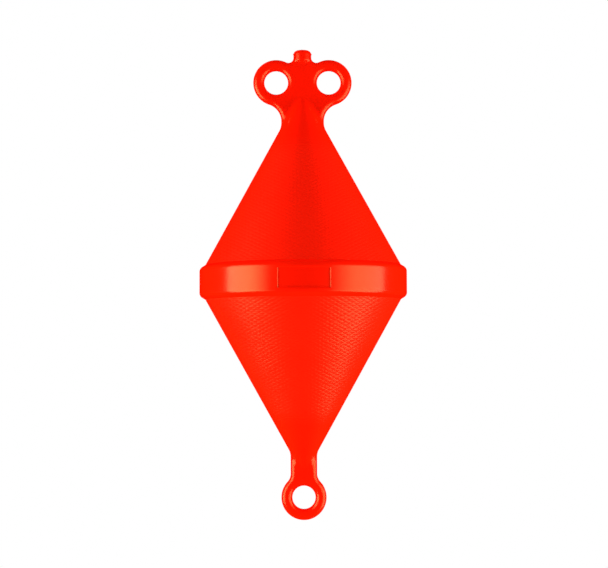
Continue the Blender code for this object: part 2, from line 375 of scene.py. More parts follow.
@dataclass(frozen=True)
class RolledBlend:
    """Two forms joined by the hollow that a rolling ball leaves between them.

    The ball's radius is on_face where the first form faces along Y and on_side where it
    faces along X, and passes smoothly from one to the other. Where the ball has room only on
    one side of a height, it shrinks on its way from the first of two heights to the second.
    """

    first: Form
    second: Form
    on_face: float
    on_side: float
    shrinks: tuple[float, float] | None = None

    # What is left of the ball where it has shrunk
    LEAST_SHARE: ClassVar[float] = 0.02
    # Forms that face nearly the same way, or nearly opposite ways, leave no room for a ball
    COSINES: ClassVar[tuple[float, float]] = (-0.999, 0.995)

    def sample(self, points: np.ndarray) -> Sample:
        """Measures the blended pair.

        Let a and b be the distances to the two forms and c the cosine between the ways they
        face. The ball's centre lies one radius from both. The way from a point to it is a mix
        of the two directions, with weights that solve a pair of linear equations in a, b and
        c. Where both weights are positive, the distance is the radius less the length of that
        way, and elsewhere it is the smaller of a and b.

        Args:
            points: places, n by 3.

        Returns:
            Signed distances and unit directions away from the pair.
        """
        first, facing_first = self.first.sample(points)
        second, facing_second = self.second.sample(points)
        radius = self.on_face + (self.on_side - self.on_face) * facing_first[:, 0] ** 2
        if self.shrinks:
            full, gone = self.shrinks
            share = (points[:, 2] - gone) / (full - gone)
            radius = radius * np.clip(share, self.LEAST_SHARE, 1.0)
        cosine = np.clip(np.sum(facing_first * facing_second, axis=1), *self.COSINES)
        from_first, from_second = radius - first, radius - second
        spread = 1.0 - cosine**2
        weight_first = (from_first - cosine * from_second) / spread
        weight_second = (from_second - cosine * from_first) / spread
        in_hollow = (weight_first > 0.0) & (weight_second > 0.0)
        squared = weight_first * from_first + weight_second * from_second
        way = np.sqrt(np.maximum(squared, TINY**2))
        mixed = weight_first[:, None] * facing_first + weight_second[:, None] * facing_second
        nearer = (first < second)[:, None]
        single = np.where(nearer, facing_first, facing_second)
        distance = np.where(in_hollow, radius - way, np.minimum(first, second))
        away = np.where(in_hollow[:, None], mixed / way[:, None], single)
        return distance, away


@dataclass
class Patch:
    """A stretch of skin as arrays: its vertices, faces and depth of grain."""

    vertices: np.ndarray
    faces: np.ndarray
    grain: np.ndarray


@dataclass(frozen=True)
class SkinNet:
    """Draws a net of four-sided faces over a form inside a box.

    The box is divided into cubes. Each cube that the surface passes through holds one vertex,
    and each cube edge that it crosses gives one face through its four cubes.
    """

    low: tuple[float, float, float]
    high: tuple[float, float, float]
    step: float
    rounds: int = 12
    pulls: int = 3

    def draw(self, form: Form, open_height: float) -> tuple[np.ndarray, np.ndarray]:
        """Draws the net and settles it on the form.

        Every round but the first moves each vertex half-way to the middle of its neighbours.
        Every round then pulls it a few times along the form's direction onto its surface.
        Vertices of the open rim stay at its height.

        Args:
            form: the form to cover.
            open_height: the height at which the box cuts the form open.

        Returns:
            The vertices, n by 3, and the faces, m by 4, which point outwards.
        """
        axes = [
            np.arange(lo, hi + self.step, self.step)
            for lo, hi in zip(self.low, self.high)
        ]
        grid = np.stack(np.meshgrid(*axes, indexing="ij"), axis=-1)
        inside = form.sample(grid.reshape(-1, 3))[0].reshape(grid.shape[:3]) < 0.0
        filled = sum(
            inside[
                i : inside.shape[0] - 1 + i,
                j : inside.shape[1] - 1 + j,
                k : inside.shape[2] - 1 + k,
            ].astype(int)
            for i, j, k in product((0, 1), repeat=3)
        )
        crossed = (filled > 0) & (filled < 8)
        number = np.full(crossed.shape, -1)
        number[crossed] = np.arange(np.count_nonzero(crossed))
        vertices = grid[:-1, :-1, :-1][crossed] + self.step / 2
        faces = np.concatenate([self._faces(inside, number, axis) for axis in range(3)])
        used, faces = np.unique(faces, return_inverse=True)
        faces = faces.reshape(-1, 4)
        return self._settle(form, vertices[used], faces, open_height), faces

    @staticmethod
    def _faces(inside: np.ndarray, number: np.ndarray, axis: int) -> np.ndarray:
        """The faces around the cube edges that run along one axis.

        Args:
            inside: whether each corner of the cubes lies in the form.
            number: the vertex number of each cube, or -1.
            axis: the axis along which the edges run.

        Returns:
            Four vertex numbers for each crossed edge, in outward order.
        """
        inside = np.moveaxis(inside, axis, 0)
        number = np.moveaxis(number, axis, 0)
        start, end = inside[:-1, 1:-1, 1:-1], inside[1:, 1:-1, 1:-1]
        crossed = start != end
        around = (
            number[:, :-1, :-1],
            number[:, 1:, :-1],
            number[:, 1:, 1:],
            number[:, :-1, 1:],
        )
        faces = np.stack([cube[crossed] for cube in around], axis=1)
        # Moving an axis to the front keeps the order of the other two, which turns the
        # hand of the frame round for the middle axis
        turned = start[crossed] ^ (axis == 1)
        return np.where(turned[:, None], faces, faces[:, ::-1])

    def _settle(
        self, form: Form, vertices: np.ndarray, faces: np.ndarray, open_height: float
    ) -> np.ndarray:
        """Evens the net out and puts it exactly on the form.

        Args:
            form: the form to cover.
            vertices: the vertices at their cubes' middles.
            faces: the faces.
            open_height: the height of the open rim.

        Returns:
            The settled vertices.
        """
        starts = faces.ravel()
        ends = np.roll(faces, -1, axis=1).ravel()
        count = len(vertices)
        pairs, uses = np.unique(
            np.sort(np.column_stack((starts, ends)), axis=1), axis=0, return_counts=True
        )
        rim = np.zeros(count, bool)
        rim[pairs[uses == 1].ravel()] = True
        both = np.concatenate((pairs, pairs[:, ::-1]))
        degree = np.bincount(both[:, 0], minlength=count)[:, None]
        for turn in range(self.rounds):
            if turn:
                middle = np.stack(
                    [
                        np.bincount(both[:, 0], vertices[both[:, 1], i], count)
                        for i in range(3)
                    ],
                    axis=1,
                )
                moved = (vertices + middle / degree) / 2
                vertices = np.where(rim[:, None], vertices, moved)
            for _ in range(self.pulls):
                distance, away = form.sample(vertices)
                vertices = vertices - distance[:, None] * away
                vertices[rim, 2] = open_height
        distance, away = form.sample(vertices[rim])
        level = away * (1.0, 1.0, 0.0)
        flat = np.sum(level * level, axis=1, keepdims=True)
        vertices[rim] -= distance[:, None] * level / flat
        return vertices


@dataclass(frozen=True)
class NamePanel:
    """The bare panel sunk into the front of the waist band.

    Its floor lies depth under the band, and its walls slope over wall_run.
    """

    width: float = 79.0 * MM
    height: float = 31.6 * MM
    depth: float = 1.6 * MM
    wall_run: float = 2.0 * MM
    wall_steps: int = 7

    def across_stations(self) -> np.ndarray:
        """Arc lengths from the panel's middle at which the grid needs a column."""
        return self._wall_stations(self.width / 2)

    def up_stations(self) -> np.ndarray:
        """Heights above the waist at which the grid needs a row."""
        return self._wall_stations(self.height / 2)

    def _wall_stations(self, edge: float) -> np.ndarray:
        """Places across the two walls that end at one distance from the panel's middle.

        They run from a quarter of a wall before its foot to a quarter past its top.

        Args:
            edge: the distance from the panel's middle to its edge.

        Returns:
            The places, in rising order.
        """
        margin = self.wall_run / 4
        walls = np.linspace(edge - self.wall_run - margin, edge + margin, self.wall_steps)
        return np.concatenate((-walls[::-1], walls))

    def sunk(self, across: np.ndarray, up: np.ndarray) -> np.ndarray:
        """How deep the panel lies under the band.

        The depth grows from none at the panel's edge to the full depth at the foot of the
        wall, by a curve that eases in and out at both ends.

        Args:
            across: arc lengths from the panel's middle.
            up: heights above the waist.

        Returns:
            The depths.
        """
        inward = np.minimum(self.width / 2 - np.abs(across), self.height / 2 - np.abs(up))
        share = np.clip(inward / self.wall_run, 0.0, 1.0)
        return self.depth * share * share * (3.0 - 2.0 * share)


@dataclass(frozen=True)
class WaistBand:
    """The proud band where the two cones meet, with rounded corners and sloping shoulders."""

    radius: float
    flat_height: float = 32.6 * MM
    corner_radius: float = 8.2 * MM
    proud: float = 9.1 * MM
    shoulder_slope: float = math.radians(32.0)
    root_radius: float = 2.0 * MM
    root_steps: int = 7
    corner_steps: int = 15
    flat_steps: int = 9
    # Rows on the flat stand further than this from its ends
    row_clearance: float = 0.2 * MM
    # Evenly spread columns stand further than this from the panel's
    column_clearance: float = 0.4 * MM
    panel: NamePanel = NamePanel()

    @property
    def cone_radius(self) -> float:
        """The radius at which the cones leave the band."""
        return self.radius - self.proud

    @property
    def half_height(self) -> float:
        """From the waist to where a shoulder meets its cone.

        It is half the flat, the corner's share of height, and the shoulder's own rise over
        what is left of the band's stand-out.

        Returns:
            The height.
        """
        turn = math.pi / 2 - self.shoulder_slope
        back = self.corner_radius * (1 - math.cos(turn))
        reach = self.corner_radius * math.sin(turn)
        shoulder = (self.proud - back) * math.tan(self.shoulder_slope)
        return self.flat_height / 2 + reach + shoulder

    def shoulder(self, cone_angle: float) -> tuple[np.ndarray, np.ndarray]:
        """The profile from the cone's foot, over the shoulder, to the band's flat.

        Two circle arcs and the straight between them. The first is hollow: its centre stands
        one radius off both the cone and the shoulder. The second rounds the band's corner.

        Args:
            cone_angle: the angle between the cone's side and the axis.

        Returns:
            Radii and heights above the waist, from the cone down to the flat.
        """
        turn = math.pi / 2 - self.shoulder_slope
        between = math.cos(turn - cone_angle)
        push = self.root_radius / (1.0 + between)
        centre_r = self.cone_radius + push * (math.cos(cone_angle) + math.cos(turn))
        centre_z = self.half_height + push * (math.sin(cone_angle) + math.sin(turn))
        hollow = np.linspace(cone_angle, turn, self.root_steps)
        corner = np.linspace(turn, 0.0, self.corner_steps)
        radii = np.concatenate(
            (
                centre_r - self.root_radius * np.cos(hollow),
                self.radius - self.corner_radius * (1.0 - np.cos(corner)),
            )
        )
        heights = np.concatenate(
            (
                centre_z - self.root_radius * np.sin(hollow),
                self.flat_height / 2 + self.corner_radius * np.sin(corner),
            )
        )
        return radii, heights

    def flat_rows(self) -> np.ndarray:
        """The rows of the grid on the band's flat: even ones, and the panel's stations.

        Returns:
            Their heights above the waist, from the top down.
        """
        half = self.flat_height / 2
        rows = np.linspace(-half, half, self.flat_steps)
        rows = np.concatenate((rows, self.panel.up_stations()))
        inner = rows[np.abs(rows) < half - self.row_clearance]
        # Rounding lets an even row and a station that fall together count as one
        return np.unique(np.round(inner, 7))[::-1]

    def bearings(self, columns: int) -> np.ndarray:
        """The bearings of the grid's columns from the front.

        They are spread evenly, save that each of the panel's stations takes the place of the
        even ones close to it.

        Args:
            columns: how many are spread round the band.

        Returns:
            The bearings in radians, in rising order.
        """
        even = np.linspace(-math.pi, math.pi, columns, endpoint=False)
        walls = self.panel.across_stations() / self.radius
        gap = np.abs(even[:, None] - walls[None, :]).min(axis=1)
        clear = even[gap > self.column_clearance / self.radius]
        return np.sort(np.concatenate((clear, walls)))


@dataclass(frozen=True)
class Head:
    """One head of the buoy: an eye plate, what stands on it, and its blend into the cone."""

    form: Form
    cone: ConeSide
    net: SkinNet
    rim_height: float

    def patch(self) -> Patch:
        """Draws the head's skin, open where the cone's turned skin takes over."""
        vertices, faces = self.net.draw(self.form, self.rim_height)
        return Patch(vertices, faces, np.zeros(len(vertices)))


@dataclass
class BuoyMoulding:
    """The buoy's whole skin.

    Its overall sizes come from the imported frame, and the rest are the mould's own.
    """

    band: WaistBand
    plastic: "BlowMouldedPolyethylene"
    low_rim: float
    stub_top: float
    waist: float = 330.0 * MM
    upper_angle: float = math.radians(28.7)
    lower_angle: float = math.radians(29.0)
    thickness: float = 16.8 * MM
    edge_radius: float = 8.0 * MM
    top_eye: tuple[float, float] = (40.9 * MM, 641.4 * MM)
    top_eye_radius: float = 18.5 * MM
    top_rim: float = 35.7 * MM
    low_eye_radius: float = 17.8 * MM
    top_neck: float = 33.1 * MM
    top_cove: float = 27.6 * MM
    top_blend: float = 8.0 * MM
    low_neck: float = 20.3 * MM
    low_cove: float = 18.5 * MM
    low_blend_on_face: float = 16.0 * MM
    low_blend_on_side: float = 24.0 * MM
    # The heights between which the low blend runs out above its eye, in radii of the eye
    low_blend_shrinks: tuple[float, float] = (2.2, 1.5)
    # How far outside the low neck its head gives way to the cone, in edge radii
    low_margin: float = 1.5
    stub_radius: float = 13.8 * MM
    stub_corner: float = 6.0 * MM
    stub_side: float = 10.2 * MM
    stub_taper: float = math.radians(45.0)
    stub_cove: float = 8.0 * MM
    stub_blend: float = 3.5 * MM
    net_step: float = 1.1 * MM
    row_step: float = 6.0 * MM
    columns: int = 216
    stitch: float = 1.6 * MM
    ungrained_radius: float = 44.0 * MM
    grain_fade: float = 14.0 * MM
    spare: float = 3.0 * MM
    upper: ConeSide = field(init=False)
    lower: ConeSide = field(init=False)

    def __post_init__(self) -> None:
        """Works out the two cones from the band."""
        self.upper, self.lower = (
            ConeSide(
                pole,
                angle,
                self.band.cone_radius,
                self.waist + pole.value * self.band.half_height,
            )
            for pole, angle in (
                (Pole.UPPER, self.upper_angle),
                (Pole.LOWER, self.lower_angle),
            )
        )

    def _neck_cove(
        self,
        eye: tuple[float, float],
        rim: float,
        neck: float,
        radius: float,
        pole: Pole,
    ) -> tuple[Edge, Arc, float]:
        """The neck's straight side and the cove that leads from it into an eye's rim.

        The cove's circle touches the upright line at the neck and the rim's circle from
        outside, so its centre lies one radius past the line, and at the sum of both radii
        from the eye.

        Args:
            eye: the eye's centre in XZ.
            rim: the outer radius of the ring round the eye.
            neck: half the width of the neck.
            radius: the cove's radius.
            pole: the end of the buoy on which the eye stands.

        Returns:
            The neck's edge, the cove, and the bearing at which the cove leaves the rim.
        """
        towards_neck = -pole.value
        across = neck + radius - eye[0]
        along = math.sqrt((rim + radius) ** 2 - across**2) * towards_neck
        centre = (neck + radius, eye[1] + along)
        leaves = math.atan2(along, across)
        half_turn = math.pi * pole.value
        cove = Arc.between(centre, radius, half_turn, leaves + half_turn, hollow=True)
        if pole is Pole.UPPER:
            return Edge(neck, self.waist, centre[1]), cove, leaves
        return Edge(neck, centre[1], self.waist), cove, leaves

    def top_plate(self) -> EyePlate:
        """The plate with the two top eyes, whose middle reaches up into the stub.

        Its right half runs up the neck, round the cove and the ring, through the small notch
        beside the stub, and up along the stub.

        Returns:
            The plate.
        """
        edge, cove, leaves = self._neck_cove(
            self.top_eye, self.top_rim, self.top_neck, self.top_cove, Pole.UPPER
        )
        notch_x = self.stub_radius + self.stub_cove
        across = notch_x - self.top_eye[0]
        rise = math.sqrt((self.top_rim + self.stub_cove) ** 2 - across**2)
        arrives = math.atan2(rise, across)
        notch_z = self.top_eye[1] + rise
        tab_top = self.stub_top - self.stub_corner
        outline = (
            edge,
            cove,
            Arc.between(self.top_eye, self.top_rim, leaves, arrives, hollow=False),
            Arc.between(
                (notch_x, notch_z),
                self.stub_cove,
                arrives - math.pi,
                -math.pi,
                hollow=True,
            ),
            Edge(self.stub_radius, notch_z, tab_top),
        )
        return EyePlate(
            outline,
            self.top_eye,
            self.top_eye_radius,
            self.thickness,
            self.edge_radius,
            (self.waist, tab_top),
        )

    def bottom_plate(self) -> EyePlate:
        """The plate with the mooring eye.

        Its right half runs round the ring from below, and through the cove up the neck.

        Returns:
            The plate.
        """
        eye = (0.0, 0.0)
        edge, cove, leaves = self._neck_cove(
            eye, self.low_rim, self.low_neck, self.low_cove, Pole.LOWER
        )
        rim = Arc.between(eye, self.low_rim, -math.pi / 2, leaves, hollow=False)
        return EyePlate(
            (rim, cove, edge),
            eye,
            self.low_eye_radius,
            self.thickness,
            self.edge_radius,
            (-self.low_rim - self.spare, self.waist),
        )

    def top_head(self) -> Head:
        """The top plate with the stub on it, blended into the upper cone.

        Returns:
            The head, which ends where the cone is wide enough to hold the neck.
        """
        stub = BlowPinStub(
            self.stub_radius,
            self.stub_top,
            self.stub_corner,
            self.stub_top - self.stub_corner - self.stub_side,
            self.stub_taper,
        )
        capped = RolledBlend(self.top_plate(), stub, self.stub_blend, self.stub_blend)
        form = RolledBlend(capped, self.upper, self.top_blend, self.top_cove)
        rim_height = self.upper.height_at(self.top_neck + self.edge_radius)
        half_width = self.top_eye[0] + self.top_rim + self.spare
        half_depth = self.top_neck + self.edge_radius + self.spare
        net = SkinNet(
            (-half_width, -half_depth, rim_height),
            (half_width, half_depth, self.stub_top + self.spare),
            self.net_step,
        )
        return Head(form, self.upper, net, rim_height)

    def bottom_head(self) -> Head:
        """The bottom plate, blended into the lower cone.

        Returns:
            The head, which ends where the cone is wide enough to hold the neck.
        """
        form = RolledBlend(
            self.bottom_plate(),
            self.lower,
            self.low_blend_on_face,
            self.low_blend_on_side,
            shrinks=tuple(share * self.low_eye_radius for share in self.low_blend_shrinks),
        )
        open_radius = self.low_neck + self.low_margin * self.edge_radius
        rim_height = self.lower.height_at(open_radius)
        half = self.low_rim + self.spare
        net = SkinNet(
            (-half, -half, -half),
            (half, half, rim_height),
            self.net_step,
        )
        return Head(form, self.lower, net, rim_height)

    def _cone_rows(self, head: Head) -> tuple[np.ndarray, np.ndarray]:
        """The profile of one cone and its shoulder, from its head to the band's flat.

        Args:
            head: the head that the cone runs into.

        Returns:
            Radii and heights above or below the waist, along the profile.
        """
        radii, heights = self.band.shoulder(head.cone.angle)
        start = abs(head.rim_height - self.waist) - self.stitch
        rows = max(2, round((start - heights[0]) / self.row_step))
        climb = np.linspace(start, heights[0], rows + 1)[:-1]
        side = head.cone.radius_at(self.waist + head.cone.pole.value * climb)
        return np.concatenate((side, radii)), np.concatenate((climb, heights))

    def turned_patch(self, top: Head, bottom: Head) -> Patch:
        """The cones and the band, as one grid of rows down the profile and columns round it.

        A vertex stands at the profile's radius, less the depth of the name panel there, on
        its column's bearing from the front.

        Args:
            top: the head above.
            bottom: the head below.

        Returns:
            The grid as a patch, with the depth of grain at each vertex.
        """
        top_radii, top_up = self._cone_rows(top)
        low_radii, low_down = self._cone_rows(bottom)
        flat = self.band.flat_rows()
        radii = np.concatenate(
            (top_radii, np.full(len(flat), self.band.radius), low_radii[::-1])
        )
        up = np.concatenate((top_up, flat, -low_down[::-1]))
        bearings = self.band.bearings(self.columns)
        across = bearings * self.band.radius
        reach = radii[:, None] - self.band.panel.sunk(across[None, :], up[:, None])
        vertices = np.stack(
            (
                reach * np.sin(bearings),
                -reach * np.cos(bearings),
                np.broadcast_to((self.waist + up)[:, None], reach.shape),
            ),
            axis=-1,
        )
        on_cone = np.abs(up) > self.band.half_height
        fade = np.clip((radii - self.ungrained_radius) / self.grain_fade, 0.0, 1.0)
        grain = np.broadcast_to((fade * on_cone)[:, None], reach.shape)
        rows, columns = reach.shape
        corner = np.arange(rows * columns).reshape(rows, columns)
        beside = np.roll(corner, -1, axis=1)
        faces = np.stack(
            (corner[:-1], corner[1:], beside[1:], beside[:-1]), axis=-1
        ).reshape(-1, 4)
        return Patch(vertices.reshape(-1, 3), faces, grain.ravel())

    def build(self) -> bpy.types.Object:
        """Makes the whole skin as one closed mesh object.

        Returns:
            The object, with the depth of grain kept in a point attribute.
        """
        top, bottom = self.top_head(), self.bottom_head()
        patches = (top.patch(), self.turned_patch(top, bottom), bottom.patch())
        starts = np.cumsum([0] + [len(patch.vertices) for patch in patches[:-1]])
        vertices = np.concatenate([patch.vertices for patch in patches])
        faces = np.concatenate([patch.faces + at for patch, at in zip(patches, starts)])
        grain = np.concatenate([patch.grain for patch in patches])
        mesh = bpy.data.meshes.new("buoy_moulding")
        mesh.from_pydata(vertices.tolist(), [], faces.tolist())
        attribute = mesh.attributes.new(BlowMouldedPolyethylene.GRAIN, "FLOAT", "POINT")
        attribute.data.foreach_set("value", grain)
        self._stitch_open_rims(mesh, (top, bottom))
        mesh.shade_smooth()
        return put_in_scene("buoy_moulding", mesh)

    def dress(self, skin: bpy.types.Object, node: str) -> None:
        """Gives the skin its plastic and puts it in its node's place.

        Args:
            skin: the skin.
            node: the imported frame's node that it stands for.
        """
        skin.data.materials.append(self.plastic.material())
        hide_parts(node)
        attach(skin, "root")

    def _stitch_open_rims(self, mesh: bpy.types.Mesh, heads: tuple[Head, ...]) -> None:
        """Closes the narrow gap between each head's rim and the turned grid.

        Args:
            mesh: the mesh with its open rims.
            heads: the heads, whose rims are closed.
        """
        bm = bmesh.new()
        bm.from_mesh(mesh)
        for head in heads:
            near = [
                edge
                for edge in bm.edges
                if edge.is_boundary
                and abs(edge.verts[0].co.z - head.rim_height) < 2 * self.stitch
            ]
            bmesh.ops.bridge_loops(bm, edges=near)
        bmesh.ops.recalc_face_normals(bm, faces=bm.faces)
        bm.to_mesh(mesh)
        bm.free()


def put_in_scene(name: str, data: bpy.types.ID) -> bpy.types.Object:
    """Makes an object from its data and links it to the scene.

    Args:
        name: the object's name.
        data: its mesh, lamp or camera.

    Returns:
        The object, at the origin.
    """
    placed = bpy.data.objects.new(name, data)
    bpy.context.scene.collection.objects.link(placed)
    return placed


def bare_tree(owner: bpy.types.ID) -> bpy.types.NodeTree:
    """Switches on the nodes of a material, lamp or world and empties them.

    Args:
        owner: the material, lamp or world.

    Returns:
        Its node tree.
    """
    owner.use_nodes = True
    owner.node_tree.nodes.clear()
    return owner.node_tree


def linear(hex_colour: str) -> tuple[float, float, float, float]:
    """Turns an sRGB hex colour into the linear one that Blender's sockets take.

    Each channel below 0.04045 is divided by 12.92, and any other is raised to the power 2.4
    after 0.055 is added and the sum is divided by 1.055.

    Args:
        hex_colour: six hex digits.

    Returns:
        Red, green, blue and an alpha of 1.
    """
    channels = [int(hex_colour[i : i + 2], 16) / 255 for i in (0, 2, 4)]
    red, green, blue = (
        c / 12.92 if c < 0.04045 else ((c + 0.055) / 1.055) ** 2.4 for c in channels
    )
    return red, green, blue, 1.0


def add_node(
    tree: bpy.types.NodeTree,
    kind: str,
    inputs: dict[str | int, object] | None = None,
    **settings: object,
) -> bpy.types.Node:
    """Adds a node to a tree, with its settings and inputs.

    Args:
        tree: the node tree.
        kind: the node's type.
        inputs: what goes into each socket, by name or number. An output socket is linked to
            it, and anything else becomes its value.
        settings: the node's own properties.

    Returns:
        The node.
    """
    node = tree.nodes.new(kind)
    for name, value in settings.items():
        setattr(node, name, value)
    for socket, value in (inputs or {}).items():
        if isinstance(value, bpy.types.NodeSocket):
            tree.links.new(value, node.inputs[socket])
        else:
            node.inputs[socket].default_value = value
    return node


@dataclass(frozen=True)
class BlowMouldedPolyethylene:
    """High-density polyethylene, coloured through and blown against a milled mould.

    It is a satin plastic with soft, wide highlights. The mould leaves a diamond grain on the
    cones, a fine line where its halves meet, a slight unevenness where the wall shrank, and
    an orange-peel texture that only takes the edge off the shine.
    """

    GRAIN: ClassVar[str] = "grain_depth"

    name: str = "blow_moulded_polyethylene"
    colour: str = "FD1200"
    shade: str = "F80F00"
    # The sheen comes back warm from the pigment that lies in the skin
    sheen_tint: str = "FFFF98"
    refraction: float = 1.51
    roughness: float = 0.20
    roughness_spread: float = 0.04
    # The milled grain also scatters light finer than its diamonds do
    grain_roughness: float = 0.14
    # The grain's grooves form diamonds this wide and this high, seen from the front
    diamond_width: float = 10.9 * MM
    diamond_height: float = 5.6 * MM
    diamond_relief: float = 0.25 * MM
    seam_width: float = 0.9 * MM
    seam_relief: float = 0.18 * MM
    waviness_size: float = 55.0 * MM
    waviness_relief: float = 0.35 * MM
    peel_size: float = 1.4 * MM
    peel_relief: float = 0.010 * MM

    def material(self) -> bpy.types.Material:
        """Makes the material.

        Returns:
            The material, patterned on Object coordinates in metres.
        """
        material = bpy.data.materials.new(self.name)
        tree = bare_tree(material)
        place = add_node(tree, "ShaderNodeTexCoord").outputs["Object"]
        cloud = add_node(
            tree,
            "ShaderNodeTexNoise",
            {"Vector": place, "Scale": 1 / self.waviness_size, "Detail": 3.0},
        ).outputs["Fac"]
        colour = add_node(
            tree,
            "ShaderNodeMix",
            {0: cloud, 6: linear(self.shade), 7: linear(self.colour)},
            data_type="RGBA",
        ).outputs[2]
        smooth = add_node(
            tree,
            "ShaderNodeMapRange",
            {
                "Value": cloud,
                "To Min": self.roughness - self.roughness_spread / 2,
                "To Max": self.roughness + self.roughness_spread / 2,
            },
        ).outputs[0]
        grained = add_node(
            tree, "ShaderNodeAttribute", attribute_name=self.GRAIN
        ).outputs["Fac"]
        roughness = add_node(
            tree,
            "ShaderNodeMath",
            {0: grained, 1: self.grain_roughness, 2: smooth},
            operation="MULTIPLY_ADD",
        ).outputs[0]
        height = self._height(tree, place, cloud, grained)
        bump = add_node(
            tree, "ShaderNodeBump", {"Height": height, "Distance": 1.0, "Strength": 1.0}
        ).outputs[0]
        shader = add_node(
            tree,
            "ShaderNodeBsdfPrincipled",
            {
                "Base Color": colour,
                "Roughness": roughness,
                "IOR": self.refraction,
                "Specular Tint": linear(self.sheen_tint),
                "Normal": bump,
            },
        )
        add_node(tree, "ShaderNodeOutputMaterial", {"Surface": shader.outputs[0]})
        return material

    def _height(
        self,
        tree: bpy.types.NodeTree,
        place: bpy.types.NodeSocket,
        cloud: bpy.types.NodeSocket,
        grained: bpy.types.NodeSocket,
    ) -> bpy.types.NodeSocket:
        """The relief of the skin in metres: diamonds, seam, waves and orange peel, summed.

        Args:
            tree: the node tree.
            place: Object coordinates.
            cloud: the slow noise that also shades the colour.
            grained: 1 where the mould is milled and 0 where it is plain.

        Returns:
            The socket that carries the height.
        """
        part = add_node(tree, "ShaderNodeSeparateXYZ", {0: place}).outputs
        off_seam = add_node(
            tree, "ShaderNodeMath", {0: part["Y"]}, operation="ABSOLUTE"
        ).outputs[0]
        seam = add_node(
            tree,
            "ShaderNodeMapRange",
            {
                "Value": off_seam,
                "From Min": 0.0,
                "From Max": self.seam_width / 2,
                "To Min": self.seam_relief,
                "To Max": 0.0,
            },
            interpolation_type="SMOOTHSTEP",
        ).outputs[0]
        peel = add_node(
            tree,
            "ShaderNodeTexNoise",
            {"Vector": place, "Scale": 1 / self.peel_size, "Detail": 2.0},
        ).outputs["Fac"]

        # Each step has a name, what it does, and the names or numbers that it works on
        steps: list[tuple[str | float, ...]] = [
            ("across", "DIVIDE", "x", self.diamond_width),
            ("up", "DIVIDE", "z", self.diamond_height),
        ]
        # Each family of grooves is the size of a sine whose phase grows across and up, or
        # across and down, so that a groove lies wherever it passes zero
        for family, operation in (("rising", "ADD"), ("falling", "SUBTRACT")):
            steps += (
                (f"{family} phase", operation, "across", "up"),
                (f"{family} turn", "MULTIPLY", f"{family} phase", math.pi),
                (f"{family} wave", "SINE", f"{family} turn"),
                (f"{family} ridge", "ABSOLUTE", f"{family} wave"),
            )
        steps += (
            ("diamond", "MINIMUM", "rising ridge", "falling ridge"),
            ("grain", "MULTIPLY", "diamond", "grained"),
            ("with seam", "MULTIPLY_ADD", "grain", self.diamond_relief, "seam"),
            ("with waves", "MULTIPLY_ADD", "cloud", self.waviness_relief, "with seam"),
            ("height", "MULTIPLY_ADD", "peel", self.peel_relief, "with waves"),
        )
        found: dict[str | float, bpy.types.NodeSocket] = {
            "x": part["X"],
            "z": part["Z"],
            "cloud": cloud,
            "grained": grained,
            "seam": seam,
            "peel": peel,
        }
        for name, operation, *values in steps:
            inputs = {i: found.get(value, value) for i, value in enumerate(values)}
            node = add_node(tree, "ShaderNodeMath", inputs, operation=operation)
            found[name] = node.outputs[0]
        return found["height"]


def direction(bearing: float, elevation: float) -> Vector:
    """The way from the buoy towards something around it.

    It is (cos e sin b, -cos e cos b, sin e), so that bearing 0 is in front of the buoy and a
    positive one is to its right.

    Args:
        bearing: the angle from the front, seen from above.
        elevation: the angle above the horizontal.

    Returns:
        A vector one metre long.
    """
    level = math.cos(elevation)
    return Vector((level * math.sin(bearing), -level * math.cos(bearing), math.sin(elevation)))


@dataclass(frozen=True, kw_only=True)
class Lamp:
    """A flat lamp that faces the buoy and stays out of the camera's sight."""

    name: str
    radiance: float
    bearing: float
    elevation: float
    width: float
    height: float
    distance: float

    def hang(self, target: Vector) -> bpy.types.Object:
        """Hangs the lamp so that it faces the target.

        A flat lamp's power is its radiance times its area times pi.

        Args:
            target: the point that it faces.

        Returns:
            The lamp's object.
        """
        lamp = bpy.data.lights.new(self.name, "AREA")
        lamp.shape = "RECTANGLE"
        lamp.size = self.width
        lamp.size_y = self.height
        lamp.energy = self.radiance * self.width * self.height * math.pi
        hung = put_in_scene(self.name, lamp)
        towards = direction(self.bearing, self.elevation)
        hung.location = target + towards * self.distance
        hung.rotation_euler = towards.to_track_quat("Z", "Y").to_euler()
        hung.visible_camera = False
        return hung


